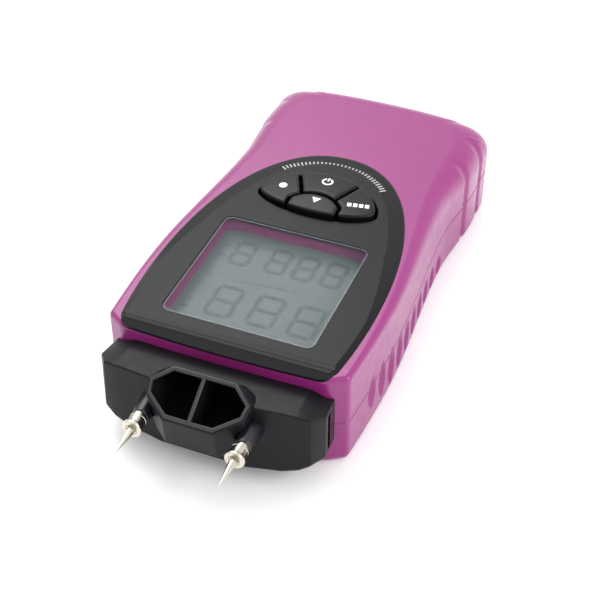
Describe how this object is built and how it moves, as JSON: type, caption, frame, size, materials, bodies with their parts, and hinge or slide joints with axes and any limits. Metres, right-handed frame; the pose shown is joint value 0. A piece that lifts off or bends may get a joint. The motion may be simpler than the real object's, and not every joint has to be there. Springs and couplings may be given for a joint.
{
  "type": "moisture meter",
  "caption": "Handheld pin-type moisture meter with display, key cluster, sensor head, screw-in needles and sliding battery door.",
  "frame": {"origin": "middle of the footprint on the surface the meter lies on", "axes": "+Z out of the display, +Y from the pins to the tail, +X to the right when the tail points away from the reader"},
  "size_m": [0.0728, 0.1704, 0.0342],
  "materials": {
    "shell_plastic": "satin moulded, fine grain",
    "panel_plastic": "satin black-grey",
    "window_clear": "clear polished",
    "key_rubber": "satin domed rubber",
    "silicone": "matt silicone",
    "lcd": "reflective liquid crystal",
    "dark_plastic": "matt",
    "backlight": "diffusing white",
    "elastomer": "matt",
    "circuit_board": "solder mask",
    "chip": "matt epoxy",
    "sensor_cap": "matt white",
    "head_plastic": "fine spark grain",
    "post_plastic": "satin",
    "nickel": "turned nickel plate",
    "needle_steel": "ground steel",
    "brass": "stamped strip",
    "battery_can": "painted can",
    "lead_insulation": "vinyl insulation",
    "screw_steel": "zinc plated"
  },
  "bodies": {
    "housing": {"front_shell": "shell_plastic", "back_shell": "shell_plastic", "bezel_frame": "panel_plastic", "display_window": "window_clear", "keypad_mat": "silicone", "dome_left": "silicone", "dome_power": "silicone", "dome_down": "silicone", "dome_right": "silicone", "lcd_glass": "lcd", "lcd_holder": "dark_plastic", "backlight_panel": "backlight", "zebra_strips": "elastomer", "main_board": "circuit_board", "board_chips": "chip", "buzzer": "dark_plastic", "sensor_head": "head_plastic", "air_board": "circuit_board", "air_sensor": "sensor_cap", "pin_post_left": "post_plastic", "pin_post_right": "post_plastic", "pin_contact_left": "brass", "pin_contact_right": "brass", "battery": "battery_can", "battery_snap": "dark_plastic", "battery_leads": "lead_insulation", "case_screws": "screw_steel", "board_screws": "screw_steel"},
    "key_left": {"key_left": "key_rubber"},
    "key_power": {"key_power": "key_rubber"},
    "key_down": {"key_down": "key_rubber"},
    "key_right": {"key_right": "key_rubber"},
    "battery_door": {"battery_door": "shell_plastic"},
    "needle_left": {"pin_needle_left": "needle_steel"},
    "collar_left": {"pin_collar_left": "nickel"},
    "needle_right": {"pin_needle_right": "needle_steel"},
    "collar_right": {"pin_collar_right": "nickel"}
  },
  "joints": [
    {"name": "left_key_press", "type": "slide", "parent": "housing", "child": "key_left", "axis": [0, 0, -1], "range_m": [0, 0.0007], "stiffness_N_per_m": 900, "springref_m": -0.0006, "deforming": ["dome_left"]},
    {"name": "power_key_press", "type": "slide", "parent": "housing", "child": "key_power", "axis": [0, 0, -1], "range_m": [0, 0.0007], "stiffness_N_per_m": 900, "springref_m": -0.0006, "deforming": ["dome_power"]},
    {"name": "down_key_press", "type": "slide", "parent": "housing", "child": "key_down", "axis": [0, 0, -1], "range_m": [0, 0.0007], "stiffness_N_per_m": 900, "springref_m": -0.0006, "deforming": ["dome_down"]},
    {"name": "right_key_press", "type": "slide", "parent": "housing", "child": "key_right", "axis": [0, 0, -1], "range_m": [0, 0.0007], "stiffness_N_per_m": 900, "springref_m": -0.0006, "deforming": ["dome_right"]},
    {"name": "door_slide", "type": "slide", "parent": "housing", "child": "battery_door", "axis": [0, 1, 0], "range_m": [0, 0.05]},
    {"name": "left_pin_travel", "type": "slide", "parent": "housing", "child": "needle_left", "axis": [0, -1, 0], "range_m": [0, 0.0035]},
    {"name": "left_collar_spin", "type": "hinge", "parent": "needle_left", "child": "collar_left", "pos_m": [-0.01445, 0, 0.02], "axis": [0, -1, 0], "range_deg": [0, 1800]},
    {"name": "right_pin_travel", "type": "slide", "parent": "housing", "child": "needle_right", "axis": [0, -1, 0], "range_m": [0, 0.0035]},
    {"name": "right_collar_spin", "type": "hinge", "parent": "needle_right", "child": "collar_right", "pos_m": [0.01445, 0, 0.02], "axis": [0, -1, 0], "range_deg": [0, 1800]}
  ],
  "couplings": [
    {"joint": "left_collar_spin", "follows": "left_pin_travel", "rad_per_m": 8976},
    {"joint": "right_collar_spin", "follows": "right_pin_travel", "rad_per_m": 8976}
  ]
}
